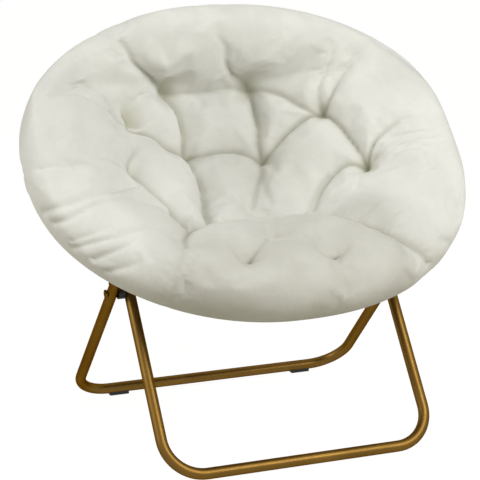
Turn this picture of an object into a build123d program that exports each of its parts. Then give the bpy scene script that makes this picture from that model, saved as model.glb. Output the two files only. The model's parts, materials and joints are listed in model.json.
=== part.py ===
from build123d import *
import math
import os

# A folding saucer chair: two crossed leg frames of round tube carry an oval ring, which
# folds in half on two side hinges, and a thick tufted cushion shaped as a bowl.
# Millimetres. X runs left to right, -Y is the front, +Z is up.
# The chair is first drawn with Y measured from the leg pivot, then moved so that the origin
# lies on the floor under the middle of its depth.
MIDDLE_Y = 61.0              # middle of the chair's depth, from the pivot

# ---------------------------------------------------------------- leg frames
TUBE_D = 19.0                # outside diameter of every frame tube
TUBE_WALL = 1.2
PIVOT_HEIGHT = 268.0         # where the frames cross, above the floor
FRONT_HALF_WIDTH = 235.5     # tube centre line of the inner frame
FRAME_GAP = 11.0             # clear gap between the two frames at the pivot
FRONT_REACH = 201.5          # pivot to the front floor bar, level
REAR_REACH = 251.0           # pivot to the rear floor bar, level
CORNER_RADIUS = 65.0         # bend of the frames, on the centre line
FRONT_TOP = 408.0            # pivot to the open top end, along the front tube
REAR_TOP = 62.0              # pivot to the open top end, along the rear tube

PAD_THICKNESS = 3.0          # black pads under the rear floor bar
PAD_LENGTH = 36.0
PAD_WIDTH = 14.0
PAD_POSITION = 182.0         # centre of each pad, from the middle of the bar

RIVET_D = 8.0                # pivot rivets and rest pins
RIVET_HEAD_D = 14.0
RIVET_HEAD_HEIGHT = 3.0
SPACER_D = 22.0
RUN_CLEARANCE = 0.05         # radial clearance of every pin in its hole
PLUG_FLANGE = 3.0            # plug height outside the tube end
PLUG_DEPTH = 10.0            # plug length inside the tube
PLUG_CLEARANCE = 0.1

# ---------------------------------------------------------------- ring
RING_TILT = 47.0             # degrees from level, rear side up
RING_HALF_DEPTH = 279.0      # tube centre line, along the tilted plane
RING_BACK_OVER_BOLT = 104.6  # lower bracket bolt to the ring's back, along the plane
RING_PLANE_OVER_BOLT = 73.3  # lower bracket bolt to the ring's plane, square to it
RING_SIDE_RADIUS = 230.0     # tighter side bends of the oval
RING_DROP = 15.0             # tube centre line, below the middle plane of the rim padding
RING_BUTT_GAP = 0.5          # between the two halves' tube ends, when open

HINGE_RISE = 36.0            # hinge pin, above the tube centre line
HINGE_PIN_D = 8.0
HINGE_EYE_D = 20.0
HINGE_LEAF_LENGTH = 36.0     # along the tube
HINGE_LEAF_START = 2.0       # leaf to the plane between the halves
HINGE_LEAF_TOE = 4.0         # height of the leaf's far end over the tube
HINGE_LEAF_THICKNESS = 3.0
HINGE_LEAF_GAP = 0.4
FOLD_ANGLE = 120.0           # how far the seat half folds up

PLATE_THICKNESS = 3.0        # brackets
BOLT_D = 6.0
BOLT_HEAD_D = 11.0
BOLT_HEAD_HEIGHT = 4.0
NUT_WIDTH = 10.0
NUT_HEIGHT = 5.0
BRACKET_BOLT_FIRST = 362.0   # pivot to the lower bracket bolt, along the front tube
BRACKET_BOLT_PITCH = 30.0
BRACKET_EDGE = 11.0          # plate beyond a bolt's centre
REST_PIN_AT = 50.0           # pivot to the rest pin, along the rear tube
REST_PLATE_GAP = 3.0         # clear side gap between the rear tube and its rest plate
REST_CLEARANCE = 0.3         # between the pin and its notch
REST_HOOK_DEPTH = 12.0       # how far the notch's front wall reaches below its roof
REST_WALL = 12.0             # width of that front wall

# ---------------------------------------------------------------- soft parts
SLEEVE_WALL = 2.5            # fabric sleeve round the ring tube
SLEEVE_CLEARANCE = 0.3
BACK_SLEEVE_HALF_WIDTH = 195.0
SEAT_SLEEVE_HALF_WIDTH = 235.0
SOFT_CLEARANCE = 0.6         # cushion to the metal pieces it is cut around
FOLD_CLEARANCE = 0.4         # each cushion half, short of the plane between them
FOLD_SPARE_ANGLE = 2.0       # extra opening of the notch over the hinge, each side

RIM_RADIUS = 45.0            # rim padding, at the sides
RIM_PADDING = 42.0           # cushion's edge beyond the ring tube's centre line
CUSHION_HALF_WIDTH = 402.0
CUSHION_END_INSET = 5.0      # the outermost section lies this far inside the half width
OUTLINE_POWER = 2.12         # 2 is an ellipse, more is squarer
CROWN_POWER = 1.6            # how fast the bowl flattens towards the sides, inner face
BELLY_POWER = 2.5            # the same for the outer face
SECTION_SHARES = (0.0, 0.20, 0.38, 0.54, 0.68, 0.80, 0.89, 0.95)  # of the half width

TUFT_RADIUS = 34.0           # round hollow that a tuft pulls into the cushion
CREASE_RADIUS = 26.0         # round valley of a crease between the pads
PULL_FOCUS = (0.0, -60.0, 230.0)  # tufts and creases face this point over the bowl

# Outline of the cushion's middle section in the ring's own plane: distance along it, as a
# share of the ring's half depth, height over it in the middle and at the sides, and the
# crown of the next stretch as a share of its length, in the middle and at the sides. Front
# lip first, then over the seat and up the back, round the top and down the outside.
PROFILE = (
    # along, middle, side, crown middle, crown side, inner face
    (-1.14, -12.0, -18.0, 0.21, 0.16, True),    # under the front lip
    (-1.075, 80.0, 26.0, 0.19, 0.08, True),      # front of the lip
    (-0.77, 72.0, 44.0, 0.07, 0.02, True),      # front edge of the seat
    (-0.30, -78.0, 46.0, -0.04, 0.02, True),     # crease between seat and back
    (0.215, -106.0, 46.0, -0.05, 0.02, True),     # lower back
    (0.73, -92.0, 42.0, 0.05, 0.03, True),      # upper back
    (0.94, 40.0, 34.0, 0.30, 0.16, True),       # top rim, inside
    (1.13, -24.0, -12.0, 0.09, 0.10, False),    # top rim, outside
    (0.895, -158.0, -38.0, 0.09, 0.02, False),   # outer back
    (0.07, -193.0, -45.0, 0.08, 0.02, False),    # bottom of the bowl
    (-0.645, -135.0, -42.0, 0.05, 0.02, False),  # belly under the seat
)

# Tufts: place across and along the ring, as shares of the cushion's half width and of the
# ring's half depth, and depth under the bowl's face
TUFTS = (
    (0.00, -0.60, 14.0),
    (0.20, -0.82, 14.0), (-0.20, -0.82, 12.0),
    (0.17, 0.17, 22.0), (-0.19, 0.20, 20.0),
    (0.19, 0.70, 24.0), (-0.23, 0.69, 22.0),
    (0.46, 0.36, 24.0), (-0.48, 0.40, 20.0),
    (0.54, -0.12, 20.0), (-0.53, -0.04, 16.0),
)

# Creases: the points of each valley's bottom, given as the tufts are
CREASES = (
    ((-0.50, -0.78, 13.0), (-0.36, -0.46, 22.0), (-0.14, -0.32, 27.0), (0.12, -0.32, 29.0),
     (0.33, -0.45, 25.0), (0.50, -0.70, 16.0)),
    ((-0.40, 0.80, 6.0), (-0.23, 0.69, 18.0), (0.19, 0.70, 18.0)),
    ((0.03, 0.88, 4.0), (0.19, 0.70, 18.0), (0.46, 0.36, 18.0), (0.54, -0.12, 16.0)),
    ((-0.23, 0.69, 18.0), (-0.19, 0.20, 16.0), (-0.17, -0.18, 8.0)),
    ((0.19, 0.70, 18.0), (0.17, 0.17, 18.0), (0.10, -0.18, 8.0)),
    ((-0.19, 0.20, 15.0), (0.17, 0.17, 15.0), (0.46, 0.36, 15.0)),
    ((-0.23, 0.69, 16.0), (-0.48, 0.40, 16.0), (-0.53, -0.04, 12.0)),
    ((-0.48, 0.40, 16.0), (-0.19, 0.20, 16.0)),
)

# ---------------------------------------------------------------- worked out from the above
TUBE_R = TUBE_D / 2
REAR_HALF_WIDTH = FRONT_HALF_WIDTH + TUBE_D + FRAME_GAP
PIVOT = Vector(0, 0, PIVOT_HEIGHT)
FRONT_BAR = Vector(0, -FRONT_REACH, TUBE_R)
REAR_BAR = Vector(0, REAR_REACH, TUBE_R + PAD_THICKNESS)
FRONT_RISE = (PIVOT - FRONT_BAR).normalized()
REAR_RISE = (PIVOT - REAR_BAR).normalized()
LEG_SWING = math.degrees(math.acos(FRONT_RISE.dot(REAR_RISE)))

# Ring plane: X across, Y along the ring's depth towards the top, Z square to it. The ring
# hangs on the bolts at the front frame's tops.
RING_HALF_WIDTH = CUSHION_HALF_WIDTH - RIM_PADDING
ALONG_RING = Vector(0, math.cos(math.radians(RING_TILT)), math.sin(math.radians(RING_TILT)))
OVER_RING = Vector(0, -ALONG_RING.Z, ALONG_RING.Y)
LOWER_BOLT = PIVOT + FRONT_RISE * BRACKET_BOLT_FIRST
RING_MIDDLE = (
    LOWER_BOLT
    + ALONG_RING * (RING_BACK_OVER_BOLT - RING_HALF_DEPTH)
    + OVER_RING * RING_PLANE_OVER_BOLT
)
RING = Plane(origin=RING_MIDDLE, x_dir=(1, 0, 0), z_dir=OVER_RING)
HINGE_HEIGHT = HINGE_RISE - RING_DROP
HINGE_CLEAR_R = HINGE_EYE_D / 2 + SOFT_CLEARANCE
# The oval is two side arcs and two end arcs that meet smoothly.
SIDE_CENTRE = RING_HALF_WIDTH - RING_SIDE_RADIUS
END_RADIUS = (SIDE_CENTRE**2 + RING_HALF_DEPTH**2 - RING_SIDE_RADIUS**2) / (
    2 * (RING_HALF_DEPTH - RING_SIDE_RADIUS)
)
END_CENTRE = END_RADIUS - RING_HALF_DEPTH

FRONT_PLATE_X = FRONT_HALF_WIDTH - TUBE_R - PLATE_THICKNESS / 2
REST_PLATE_X = REAR_HALF_WIDTH + TUBE_R + REST_PLATE_GAP + PLATE_THICKNESS / 2
CHANNEL_R = TUBE_R + SLEEVE_CLEARANCE + SLEEVE_WALL + SLEEVE_CLEARANCE


def in_ring_plane(point):
    """A point of the chair in the ring's coordinates."""
    return RING.to_local_coords(point)


def place_on_ring(shape):
    """Moves a shape drawn in the ring's coordinates to its place on the chair."""
    return RING.location * shape


def rod(start, end, radius):
    """A straight round bar between two points."""
    direction = end - start
    return extrude(Plane(start, z_dir=direction) * Circle(radius), direction.length)


def across(x_start, x_end, centre, radius):
    """A round bar along X at a point of the side view."""
    return rod(Vector(x_start, centre.Y, centre.Z), Vector(x_end, centre.Y, centre.Z), radius)


def mirrored(shape):
    return mirror(shape, about=Plane.YZ)


def tube_along(path, radius, bore=0.0):
    """A round tube, or a bar where the bore is nothing, along a path."""
    start = Plane(path @ 0, z_dir=path % 0)
    body = sweep(start * Circle(radius), path=path)
    if bore > 0:
        body = body - sweep(start * Circle(bore), path=path)
    return body


# ---------------------------------------------------------------- leg frames
def frame_path(half_width, bar, rise, top):
    """Up one side of a leg frame, along its floor bar and up the other side."""
    side = PIVOT + rise * top - bar
    points = [
        Vector(-half_width, bar.Y, bar.Z) + side,
        Vector(-half_width, bar.Y, bar.Z),
        Vector(half_width, bar.Y, bar.Z),
        Vector(half_width, bar.Y, bar.Z) + side,
    ]
    return FilletPolyline(*points, radius=CORNER_RADIUS)


def cross_holes(half_width, centre, diameter):
    """Holes through both sides of a leg frame, along X."""
    reach = half_width + TUBE_D
    hole = across(-reach, reach, centre, diameter / 2 + RUN_CLEARANCE)
    return hole


def bracket_bolt_centres():
    return [LOWER_BOLT, LOWER_BOLT + FRONT_RISE * BRACKET_BOLT_PITCH]


def rest_pin_centre():
    return PIVOT + REAR_RISE * REST_PIN_AT


def front_leg_tube():
    path = frame_path(FRONT_HALF_WIDTH, FRONT_BAR, FRONT_RISE, FRONT_TOP)
    tube = tube_along(path, TUBE_R, TUBE_R - TUBE_WALL)
    tube -= cross_holes(FRONT_HALF_WIDTH, PIVOT, RIVET_D)
    for centre in bracket_bolt_centres():
        tube -= cross_holes(FRONT_HALF_WIDTH, centre, BOLT_D)
    return tube


def rear_leg_tube():
    path = frame_path(REAR_HALF_WIDTH, REAR_BAR, REAR_RISE, REAR_TOP)
    tube = tube_along(path, TUBE_R, TUBE_R - TUBE_WALL)
    tube -= cross_holes(REAR_HALF_WIDTH, PIVOT, RIVET_D)
    tube -= cross_holes(REAR_HALF_WIDTH, rest_pin_centre(), RIVET_D)
    return tube


def leg_plugs(half_width, rise, top, hole_centres):
    """Caps in the two open ends of a leg frame."""
    end = PIVOT + rise * top + Vector(half_width, 0, 0)
    stem_radius = TUBE_R - TUBE_WALL - PLUG_CLEARANCE
    plug = rod(end, end + rise * PLUG_FLANGE, TUBE_R)
    plug += rod(end - rise * PLUG_DEPTH, end, stem_radius)
    for centre in hole_centres:
        plug -= cross_holes(half_width, centre, RIVET_D)
    return [plug, mirrored(plug)]


def pivot_rivet():
    inner = FRONT_HALF_WIDTH - TUBE_R
    outer = REAR_HALF_WIDTH + TUBE_R
    rivet = across(inner, outer, PIVOT, RIVET_D / 2)
    rivet += across(inner - RIVET_HEAD_HEIGHT, inner, PIVOT, RIVET_HEAD_D / 2)
    rivet += across(outer + RUN_CLEARANCE, outer + RIVET_HEAD_HEIGHT, PIVOT, RIVET_HEAD_D / 2)
    rivet += across(outer, outer + RUN_CLEARANCE, PIVOT, RIVET_D / 2)
    return rivet


def leg_spacer():
    start = FRONT_HALF_WIDTH + TUBE_R + RUN_CLEARANCE
    end = REAR_HALF_WIDTH - TUBE_R - RUN_CLEARANCE
    ring = across(start, end, PIVOT, SPACER_D / 2)
    return ring - across(start, end, PIVOT, RIVET_D / 2 + RUN_CLEARANCE)


def rest_pin():
    inner = REAR_HALF_WIDTH - TUBE_R
    centre = rest_pin_centre()
    end = REST_PLATE_X + PLATE_THICKNESS
    pin = across(inner, end, centre, RIVET_D / 2)
    return pin + across(inner - RIVET_HEAD_HEIGHT, inner, centre, RIVET_HEAD_D / 2)


def foot_pad():
    """A pad under the rear bar, hollowed to the bar's curve."""
    pad = Pos(PAD_POSITION, REAR_REACH, TUBE_R / 2) * Box(PAD_LENGTH, PAD_WIDTH, TUBE_R)
    bar = across(0, PAD_POSITION + PAD_LENGTH, REAR_BAR, TUBE_R)
    return pad - bar


# ---------------------------------------------------------------- ring
def ring_half_path(side):
    """Half of the oval, from the right hinge to the left one. side is 1 for the back half
    and -1 for the seat half."""
    gap = side * RING_BUTT_GAP / 2
    lean = math.atan2(END_CENTRE, SIDE_CENTRE)
    side_point = Vector(
        SIDE_CENTRE + RING_SIDE_RADIUS * math.cos(lean),
        side * RING_SIDE_RADIUS * math.sin(lean),
        -RING_DROP,
    )
    half_lean = lean / 2
    side_middle = Vector(
        SIDE_CENTRE + RING_SIDE_RADIUS * math.cos(half_lean),
        side * RING_SIDE_RADIUS * math.sin(half_lean),
        -RING_DROP,
    )
    start = Vector(
        SIDE_CENTRE + math.sqrt(RING_SIDE_RADIUS**2 - gap**2),
        gap,
        -RING_DROP,
    )
    top = Vector(0, side * RING_HALF_DEPTH, -RING_DROP)

    def left(point):
        return Vector(-point.X, point.Y, point.Z)

    right_arc = ThreePointArc(start, side_middle, side_point)
    end_arc = ThreePointArc(side_point, top, left(side_point))
    left_arc = ThreePointArc(left(side_point), left(side_middle), left(start))
    return Wire([right_arc, end_arc, left_arc])


def end_arc_path(side, half_width):
    """The stretch of an oval's end that a sleeve covers."""
    def at(x):
        return Vector(x, side * (math.sqrt(END_RADIUS**2 - x**2) - END_CENTRE), -RING_DROP)

    return ThreePointArc(at(half_width), at(0), at(-half_width))


def ring_tube(side):
    return tube_along(ring_half_path(side), TUBE_R, TUBE_R - TUBE_WALL)


def ring_bar(side, radius):
    """The same half as a plain bar, for cutting."""
    return tube_along(ring_half_path(side), radius)


def ring_sleeve(side, half_width):
    path = end_arc_path(side, half_width)
    inner = TUBE_R + SLEEVE_CLEARANCE
    return tube_along(path, inner + SLEEVE_WALL, inner)


def side_plate(x_middle, thickness, outline):
    """A flat plate square to X, from an outline in the ring's coordinates (depth, height)."""
    plane = Plane(origin=(x_middle - thickness / 2, 0, 0), x_dir=(0, 1, 0), z_dir=(1, 0, 0))
    return extrude(plane * outline, thickness, dir=(1, 0, 0))


def hinge_leaf(side, x_middle):
    """A leaf that stands on the tube's end and carries the hinge pin over the joint."""
    foot = Polygon(
        (HINGE_LEAF_START, -RING_DROP),
        (HINGE_LEAF_LENGTH, -RING_DROP),
        (HINGE_LEAF_LENGTH, -RING_DROP + TUBE_R + HINGE_LEAF_TOE),
        (HINGE_EYE_D / 2, HINGE_HEIGHT + HINGE_EYE_D / 4),
        (0, HINGE_HEIGHT),
        (HINGE_LEAF_START, HINGE_HEIGHT - HINGE_EYE_D / 2),
        align=None,
    )
    eye = Pos(0, HINGE_HEIGHT) * Circle(HINGE_EYE_D / 2)
    hole = Pos(0, HINGE_HEIGHT) * Circle(HINGE_PIN_D / 2 + RUN_CLEARANCE)
    leaf = side_plate(x_middle, HINGE_LEAF_THICKNESS, foot + eye - hole)
    leaf = leaf - ring_bar(1, TUBE_R)
    return leaf if side > 0 else mirror(leaf, about=Plane.XZ)


def hinge_leaf_places():
    """Middle of the seat leaf and of the back leaf, side by side on the pin."""
    shift = (HINGE_LEAF_THICKNESS + HINGE_LEAF_GAP) / 2
    return RING_HALF_WIDTH - shift, RING_HALF_WIDTH + shift


def hinge_pin():
    inner, outer = hinge_leaf_places()
    start = inner - HINGE_LEAF_THICKNESS / 2 - HINGE_LEAF_GAP / 2
    end = outer + HINGE_LEAF_THICKNESS / 2 + HINGE_LEAF_GAP / 2
    centre = Vector(0, 0, HINGE_HEIGHT)
    head = HINGE_PIN_D / 2 + 2.0
    pin = across(start, end, centre, HINGE_PIN_D / 2)
    pin += across(start - 2.0, start, centre, head)
    pin += across(end, end + 2.0, centre, head)
    return pin


def back_bracket():
    """Plate between the top of the front frame and the back half of the ring."""
    low, high = [in_ring_plane(c) for c in bracket_bolt_centres()]
    along = (high - low).normalized() * BRACKET_EDGE
    foot_start = low - along
    foot_end = high + along
    ring_at = math.sqrt(END_RADIUS**2 - FRONT_PLATE_X**2) - END_CENTRE
    outline = Polygon(
        (foot_start.Y, foot_start.Z - BRACKET_EDGE / 2),
        (foot_end.Y, foot_end.Z - BRACKET_EDGE / 2),
        (ring_at + TUBE_R, -RING_DROP),
        (ring_at - TUBE_R, -RING_DROP),
        (foot_start.Y, foot_start.Z + BRACKET_EDGE),
        align=None,
    )
    for centre in (low, high):
        outline -= Pos(centre.Y, centre.Z) * Circle(BOLT_D / 2 + RUN_CLEARANCE)
    plate = side_plate(FRONT_PLATE_X, PLATE_THICKNESS, outline)
    return plate - ring_bar(1, TUBE_R)


def bracket_bolt(centre):
    inner = FRONT_HALF_WIDTH - TUBE_R - PLATE_THICKNESS
    outer = FRONT_HALF_WIDTH + TUBE_R
    bolt = across(inner - NUT_HEIGHT, outer, centre, BOLT_D / 2)
    return bolt + across(outer, outer + BOLT_HEAD_HEIGHT, centre, BOLT_HEAD_D / 2)


def bracket_nut(centre):
    inner = FRONT_HALF_WIDTH - TUBE_R - PLATE_THICKNESS
    plane = Plane(
        origin=(inner - NUT_HEIGHT, centre.Y, centre.Z), x_dir=(0, 1, 0), z_dir=(1, 0, 0)
    )
    hexagon = RegularPolygon(NUT_WIDTH / 2, 6, major_radius=False)
    outline = plane * (hexagon - Circle(BOLT_D / 2 + RUN_CLEARANCE))
    return extrude(outline, NUT_HEIGHT, dir=(1, 0, 0))


def rest_bracket():
    """Notched plate under the seat half. Its roof sits on the rest pin and its front wall
    keeps the frames from spreading."""
    pin = in_ring_plane(rest_pin_centre())
    reach = RIVET_D / 2 + REST_CLEARANCE
    roof = pin.Z + reach
    wall = pin.Y - reach
    lean = math.atan2(END_CENTRE, SIDE_CENTRE)
    on_side_arc = REST_PLATE_X > SIDE_CENTRE + RING_SIDE_RADIUS * math.cos(lean)
    if on_side_arc:
        ring_at = -math.sqrt(RING_SIDE_RADIUS**2 - (REST_PLATE_X - SIDE_CENTRE) ** 2)
    else:
        ring_at = END_CENTRE - math.sqrt(END_RADIUS**2 - REST_PLATE_X**2)
    outline = Polygon(
        (wall - REST_WALL, roof - REST_HOOK_DEPTH),
        (wall, roof - REST_HOOK_DEPTH),
        (wall, roof),
        (pin.Y + RIVET_D, roof),
        (ring_at + TUBE_R, -RING_DROP),
        (ring_at - TUBE_R, -RING_DROP),
        (wall - REST_WALL, roof),
        align=None,
    )
    plate = side_plate(REST_PLATE_X, PLATE_THICKNESS, outline)
    return plate - ring_bar(-1, TUBE_R)


# ---------------------------------------------------------------- cushion
def bowl_share(x, power):
    """1 in the middle of the chair, 0 over the side rims."""
    rim_x = CUSHION_HALF_WIDTH - RIM_RADIUS
    return max(0.0, 1 - (x / rim_x) ** 2) ** power


def section_corners(x):
    """Corners of the cushion's outline at this distance from the middle, and the crowns of
    the stretches between them."""
    rim_x = CUSHION_HALF_WIDTH - RIM_RADIUS
    spread = (1 - (abs(x) / CUSHION_HALF_WIDTH) ** OUTLINE_POWER) ** (1 / OUTLINE_POWER)
    beyond = max(0.0, abs(x) - rim_x)
    thin = math.sqrt(1 - (beyond / RIM_RADIUS) ** 2)
    corners = []
    crowns = []
    for along, middle, side, crown_middle, crown_side, is_inner in PROFILE:
        share = bowl_share(x, CROWN_POWER if is_inner else BELLY_POWER)
        height = thin * side + (middle - side) * share
        corners.append(Vector(along * RING_HALF_DEPTH * spread, height))
        crowns.append(crown_side * thin + (crown_middle - crown_side) * share)
    return corners, crowns


def cushion_section(x):
    """The cushion's closed outline in the plane square to X at this distance."""
    corners, crowns = section_corners(x)
    edges = []
    for index, start in enumerate(corners):
        end = corners[(index + 1) % len(corners)]
        chord = end - start
        outward = Vector(-chord.Y, chord.X)
        edges.append(ThreePointArc(start, (start + end) * 0.5 + outward * crowns[index], end))
    plane = Plane(origin=(x, 0, 0), x_dir=(0, 1, 0), z_dir=(1, 0, 0))
    return plane * make_face(edges)


def under_bowl(across_share, along_share, depth):
    """A point at this depth under the bowl's inner face."""
    x = across_share * CUSHION_HALF_WIDTH
    along = along_share * RING_HALF_DEPTH
    corners, crowns = section_corners(x)
    face = [corner for corner, row in zip(corners, PROFILE) if row[-1]]
    start, end, crown = next(
        (start, end, crown)
        for start, end, crown in zip(face[1:], face[2:] + face[-1:], crowns[1:])
        if along <= end.X or end is face[-1]
    )
    share = (along - start.X) / (end.X - start.X)
    rise = 4 * crown * share * (1 - share) * (end - start).length
    surface = Vector(x, along, start.Y + (end.Y - start.Y) * share + rise)
    return surface - facing_focus(surface) * depth


def facing_focus(point):
    return (Vector(*PULL_FOCUS) - point).normalized()


def crease_axis(point):
    """Centre of a crease's round valley over a point of its bottom."""
    return point + facing_focus(point) * CREASE_RADIUS


def whole_cushion():
    """The bowl, in the ring's coordinates, with its tufts and creases pulled in."""
    places = [share * CUSHION_HALF_WIDTH for share in SECTION_SHARES]
    places.append(CUSHION_HALF_WIDTH - CUSHION_END_INSET)
    sections = [cushion_section(x) for x in [-p for p in reversed(places[1:])] + places]
    body = loft(sections)
    for tuft in TUFTS:
        place = under_bowl(*tuft)
        body -= Pos(*(place + facing_focus(place) * TUFT_RADIUS)) * Sphere(TUFT_RADIUS)
    for crease in CREASES:
        points = [crease_axis(under_bowl(*point)) for point in crease]
        for start, end in zip(points, points[1:]):
            body -= rod(start, end, CREASE_RADIUS)
        for end in points:
            body -= Pos(*end) * Sphere(CREASE_RADIUS)
    return body


def half_space(side):
    """Everything on one side of the hinge line. Over the hinge the space leans back, which
    leaves the notch that the rim closes when the ring folds."""
    lean = FOLD_ANGLE / 2 + FOLD_SPARE_ANGLE
    size = 2 * CUSHION_HALF_WIDTH
    tip = size * math.tan(math.radians(lean))
    outline = Polygon(
        (side * FOLD_CLEARANCE, -size),
        (side * FOLD_CLEARANCE, HINGE_HEIGHT),
        (side * (FOLD_CLEARANCE + tip), HINGE_HEIGHT + size),
        (side * (tip + size), HINGE_HEIGHT + size),
        (side * (tip + size), -size),
        align=None,
    )
    return side_plate(0, 2 * size, outline)


def slot(piece, spare):
    """A box around a piece, with some room, for the hollow that a cushion leaves for it."""
    box = piece.bounding_box()
    size = box.size + Vector(2 * spare, 2 * spare, 2 * spare)
    return Pos(*box.center()) * Box(size.X, size.Y, size.Z)


def hinge_hollow():
    """Room in the rims for the hinge: its leaves, and the turning eye."""
    inner, outer = hinge_leaf_places()
    start = inner - HINGE_LEAF_THICKNESS - 2 * SOFT_CLEARANCE
    end = outer + HINGE_LEAF_THICKNESS + 2 * SOFT_CLEARANCE
    reach = HINGE_LEAF_LENGTH + SOFT_CLEARANCE
    top = HINGE_HEIGHT + HINGE_EYE_D / 2 + SOFT_CLEARANCE
    block = Pos((start + end) / 2, 0, (top - RING_DROP) / 2) * Box(
        end - start, 2 * reach, top + RING_DROP
    )
    return block


def leg_groove(half_width, rise, start, top):
    """Room under the cushion for one side tube of a leg frame, with its bolts."""
    offset = Vector(half_width, 0, 0)
    groove = rod(
        PIVOT + rise * start + offset,
        PIVOT + rise * (top + PLUG_FLANGE + SOFT_CLEARANCE) + offset,
        TUBE_R + SOFT_CLEARANCE,
    )
    return groove


def bolt_hollow(centre):
    inner = FRONT_HALF_WIDTH - TUBE_R - PLATE_THICKNESS - NUT_HEIGHT - SOFT_CLEARANCE
    outer = FRONT_HALF_WIDTH + TUBE_R + BOLT_HEAD_HEIGHT + SOFT_CLEARANCE
    return across(inner, outer, centre, BOLT_HEAD_D / 2 + SOFT_CLEARANCE)


def rest_hollow():
    """Room under the seat cushion in which the top of a rear leg swings."""
    inner = REAR_HALF_WIDTH - TUBE_R - RIVET_HEAD_HEIGHT - SOFT_CLEARANCE
    outer = REST_PLATE_X + 1.5 * PLATE_THICKNESS + SOFT_CLEARANCE
    swing = math.hypot(REAR_TOP + PLUG_FLANGE, TUBE_R) + SOFT_CLEARANCE
    return across(inner, outer, PIVOT, swing)


def both_sides(body, cut):
    return body - cut - mirrored(cut)


def without_crumbs(body):
    """The solid itself, without the crumbs that crossing cuts leave beside it."""
    return max(body.solids(), key=lambda solid: solid.volume)


def back_cushion(whole):
    body = place_on_ring(whole & half_space(1))
    body -= place_on_ring(ring_bar(1, CHANNEL_R))
    body = both_sides(body, place_on_ring(hinge_hollow()))
    body = both_sides(body, place_on_ring(slot(back_bracket(), SOFT_CLEARANCE)))
    body = both_sides(body, leg_groove(FRONT_HALF_WIDTH, FRONT_RISE, 0, FRONT_TOP))
    for centre in bracket_bolt_centres():
        body = both_sides(body, bolt_hollow(centre))
    return without_crumbs(body)


def seat_cushion(whole):
    body = place_on_ring(whole & half_space(-1))
    body -= place_on_ring(ring_bar(-1, CHANNEL_R))
    body = both_sides(body, place_on_ring(hinge_hollow()))
    body = both_sides(body, place_on_ring(slot(rest_bracket(), SOFT_CLEARANCE)))
    body = both_sides(body, leg_groove(FRONT_HALF_WIDTH, FRONT_RISE, 0, FRONT_TOP))
    body = both_sides(body, rest_hollow())
    return without_crumbs(body)


# ---------------------------------------------------------------- all pieces
def pair(piece):
    return [piece, mirrored(piece)]


def build():
    """Every node of the chair, as lists of solids, with Y measured from the pivot."""
    seat_leaf_x, back_leaf_x = hinge_leaf_places()
    whole = whole_cushion()
    back_plate = place_on_ring(back_bracket())
    rest_plate = place_on_ring(rest_bracket())
    back_leaf = place_on_ring(hinge_leaf(1, back_leaf_x))
    seat_leaf = place_on_ring(hinge_leaf(-1, seat_leaf_x))
    bolts = [bracket_bolt(centre) for centre in bracket_bolt_centres()]
    nuts = [bracket_nut(centre) for centre in bracket_bolt_centres()]
    return {
        "front_leg_tube": [front_leg_tube()],
        "rear_leg_tube": [rear_leg_tube()],
        "front_leg_plugs": leg_plugs(FRONT_HALF_WIDTH, FRONT_RISE, FRONT_TOP, []),
        "rear_leg_plugs": leg_plugs(
            REAR_HALF_WIDTH, REAR_RISE, REAR_TOP, [rest_pin_centre()]
        ),
        "leg_pivot_rivets": pair(pivot_rivet()),
        "leg_spacer_left": [mirrored(leg_spacer())],
        "leg_spacer_right": [leg_spacer()],
        "rest_pins": pair(rest_pin()),
        "rear_foot_pad_left": [mirrored(foot_pad())],
        "rear_foot_pad_right": [foot_pad()],
        "back_ring_tube": [place_on_ring(ring_tube(1))],
        "seat_ring_tube": [place_on_ring(ring_tube(-1))],
        "back_hinge_leaf_left": [mirrored(back_leaf)],
        "back_hinge_leaf_right": [back_leaf],
        "seat_hinge_leaf_left": [mirrored(seat_leaf)],
        "seat_hinge_leaf_right": [seat_leaf],
        "ring_hinge_pins": pair(place_on_ring(hinge_pin())),
        "back_bracket_left": [mirrored(back_plate)],
        "back_bracket_right": [back_plate],
        "bracket_bolts": [b for bolt in bolts for b in pair(bolt)],
        "bracket_nuts": [n for nut in nuts for n in pair(nut)],
        "rest_bracket_left": [mirrored(rest_plate)],
        "rest_bracket_right": [rest_plate],
        "back_ring_sleeve": [place_on_ring(ring_sleeve(1, BACK_SLEEVE_HALF_WIDTH))],
        "seat_ring_sleeve": [place_on_ring(ring_sleeve(-1, SEAT_SLEEVE_HALF_WIDTH))],
        "back_cushion": [back_cushion(whole)],
        "seat_cushion": [seat_cushion(whole)],
    }


def as_compound(shapes):
    solids = [solid for shape in shapes for solid in shape.solids()]
    return solids[0] if len(solids) == 1 else Compound(solids)


def main():
    os.makedirs("parts", exist_ok=True)
    shift = Pos(0, -MIDDLE_Y, 0)
    for name, shapes in build().items():
        export_step(shift * as_compound(shapes), f"parts/{name}.step")
    hinge = (shift * RING.location * Pos(0, 0, HINGE_HEIGHT)).position
    print(f"leg pivot y {-MIDDLE_Y:.5f} z {PIVOT.Z:.5f}, swing {LEG_SWING:.3f}")
    print(f"ring hinge y {hinge.Y:.5f} z {hinge.Z:.5f}, fold {FOLD_ANGLE:.3f}")


main()
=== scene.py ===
"""Folding saucer chair: a tufted plush bowl cushion on a folding tube frame."""
import json
import math

import bpy
import numpy as np
from mathutils import Matrix, Vector

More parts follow.
